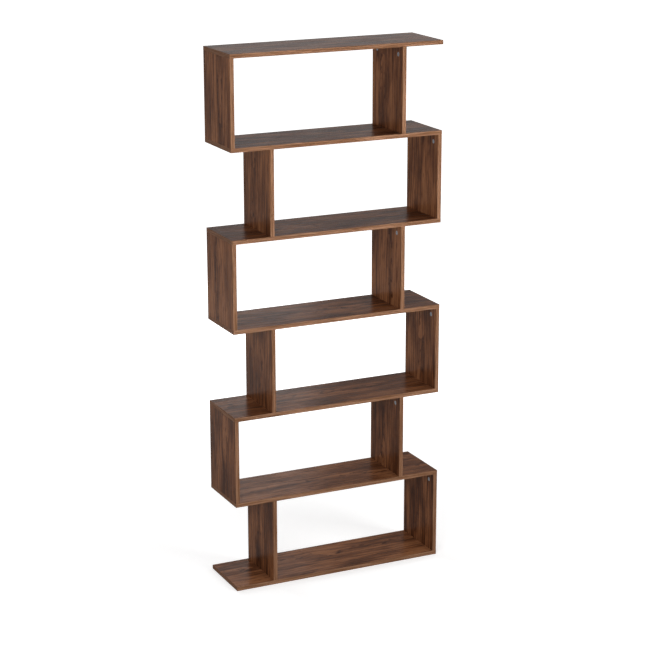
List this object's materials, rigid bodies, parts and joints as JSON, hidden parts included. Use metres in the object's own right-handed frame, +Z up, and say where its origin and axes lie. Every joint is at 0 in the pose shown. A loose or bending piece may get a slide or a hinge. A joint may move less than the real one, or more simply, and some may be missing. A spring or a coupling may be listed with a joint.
{
  "type": "tall bookcase",
  "caption": "Tall open zigzag bookcase of dark walnut-decor boards, whose short uprights shift from side to side between full-width shelves, leaving open ledges.",
  "frame": {"origin": "on the floor under the middle of the lowest shelf", "axes": "+Z up, front towards -Y, +X to the right seen from the front"},
  "size_m": [0.8, 0.23, 1.905],
  "materials": {
    "walnut_decor": "dark walnut woodgrain decor, semi-matt",
    "edge_band": "warm brown woodgrain edge band, satin",
    "cam_zinc": "die-cast zinc, satin",
    "fastener_steel": "bright zinc-plated steel",
    "dowel_beech": "plain beech, unfinished"
  },
  "bodies": {
    "root": {"shelf_1": "walnut_decor", "shelf_1_edge_bands": "edge_band", "shelf_2": "walnut_decor", "shelf_2_edge_bands": "edge_band", "shelf_3": "walnut_decor", "shelf_3_edge_bands": "edge_band", "shelf_4": "walnut_decor", "shelf_4_edge_bands": "edge_band", "shelf_5": "walnut_decor", "shelf_5_edge_bands": "edge_band", "shelf_6": "walnut_decor", "shelf_6_edge_bands": "edge_band", "shelf_7": "walnut_decor", "shelf_7_edge_bands": "edge_band", "tier_1_left_upright": "walnut_decor", "tier_1_right_upright": "walnut_decor", "tier_1_upright_edge_bands": "edge_band", "tier_1_cam_discs": "cam_zinc", "tier_1_cam_bolts": "fastener_steel", "tier_1_dowels": "dowel_beech", "tier_1_screws": "fastener_steel", "tier_2_left_upright": "walnut_decor", "tier_2_right_upright": "walnut_decor", "tier_2_upright_edge_bands": "edge_band", "tier_2_cam_discs": "cam_zinc", "tier_2_cam_bolts": "fastener_steel", "tier_2_dowels": "dowel_beech", "tier_2_screws": "fastener_steel", "tier_3_left_upright": "walnut_decor", "tier_3_right_upright": "walnut_decor", "tier_3_upright_edge_bands": "edge_band", "tier_3_cam_discs": "cam_zinc", "tier_3_cam_bolts": "fastener_steel", "tier_3_dowels": "dowel_beech", "tier_3_screws": "fastener_steel", "tier_4_left_upright": "walnut_decor", "tier_4_right_upright": "walnut_decor", "tier_4_upright_edge_bands": "edge_band", "tier_4_cam_discs": "cam_zinc", "tier_4_cam_bolts": "fastener_steel", "tier_4_dowels": "dowel_beech", "tier_4_screws": "fastener_steel", "tier_5_left_upright": "walnut_decor", "tier_5_right_upright": "walnut_decor", "tier_5_upright_edge_bands": "edge_band", "tier_5_cam_discs": "cam_zinc", "tier_5_cam_bolts": "fastener_steel", "tier_5_dowels": "dowel_beech", "tier_5_screws": "fastener_steel", "tier_6_left_upright": "walnut_decor", "tier_6_right_upright": "walnut_decor", "tier_6_upright_edge_bands": "edge_band", "tier_6_cam_discs": "cam_zinc", "tier_6_cam_bolts": "fastener_steel", "tier_6_dowels": "dowel_beech", "tier_6_screws": "fastener_steel"}
  },
  "joints": []
}
